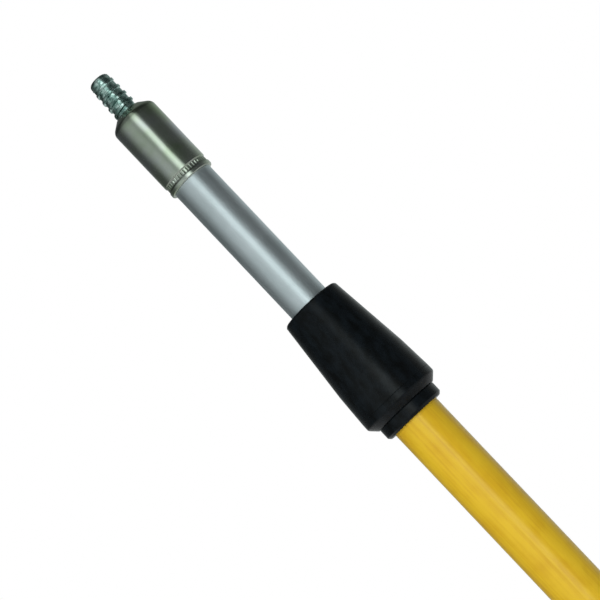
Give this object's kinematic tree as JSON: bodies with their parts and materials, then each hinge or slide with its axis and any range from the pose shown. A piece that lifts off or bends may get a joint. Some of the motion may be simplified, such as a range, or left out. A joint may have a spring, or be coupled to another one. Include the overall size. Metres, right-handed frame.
{
  "type": "roller extension pole",
  "caption": "Telescoping pole for a paint roller: threaded metal tip, aluminium inner tube, black twist collar, yellow outer tube and hand grip.",
  "frame": {"origin": "centre of the end cap's flat base", "axes": "+Z along the pole to the threaded tip"},
  "size_m": [0.0616, 0.0616, 0.86],
  "materials": {
    "cast_zinc": "die-cast zinc, bright with dark recesses",
    "plated_steel": "plated, greenish tint, satin",
    "drawn_aluminium": "drawn, satin",
    "nylon": "moulded nylon",
    "pin_metal": "plain steel",
    "yellow_fibreglass": "gloss yellow, faint lengthwise fibres",
    "black_plastic": "black moulded plastic",
    "grip_vinyl": "black vinyl",
    "seal_rubber": "soft black rubber"
  },
  "bodies": {
    "outer_section": {"outer_tube": "yellow_fibreglass", "upper_bush": "nylon", "collet_body": "black_plastic", "collet_pins": "pin_metal", "hand_grip": "grip_vinyl", "end_cap": "black_plastic", "end_cap_pins": "pin_metal"},
    "inner_section": {"threaded_tip": "cast_zinc", "tip_ferrule": "plated_steel", "inner_tube": "drawn_aluminium", "lower_bush": "nylon", "lower_plug": "nylon", "lower_bush_pins": "pin_metal"},
    "clamp": {"clamp_ring": "nylon", "thrust_washer": "pin_metal"},
    "collar": {"collar_shell": "black_plastic", "collar_nut": "nylon", "collar_end_ring": "black_plastic", "wiper_seal": "seal_rubber", "seal_retainer": "black_plastic"}
  },
  "joints": [
    {"name": "pole_extension", "type": "slide", "parent": "outer_section", "child": "inner_section", "axis": [0, 0, 1], "range_m": [-0.116, 0.353]},
    {"name": "clamp_travel", "type": "slide", "parent": "outer_section", "child": "clamp", "axis": [0, 0, 1], "range_m": [0, 0.003]},
    {"name": "collar_twist", "type": "hinge", "parent": "clamp", "child": "collar", "pos_m": [0, 0, 0.59], "axis": [0, 0, 1], "range_deg": [0, 180]}
  ],
  "couplings": [
    {"joint": "clamp_travel", "follows": "collar_twist", "m_per_rad": 0.00095492}
  ]
}
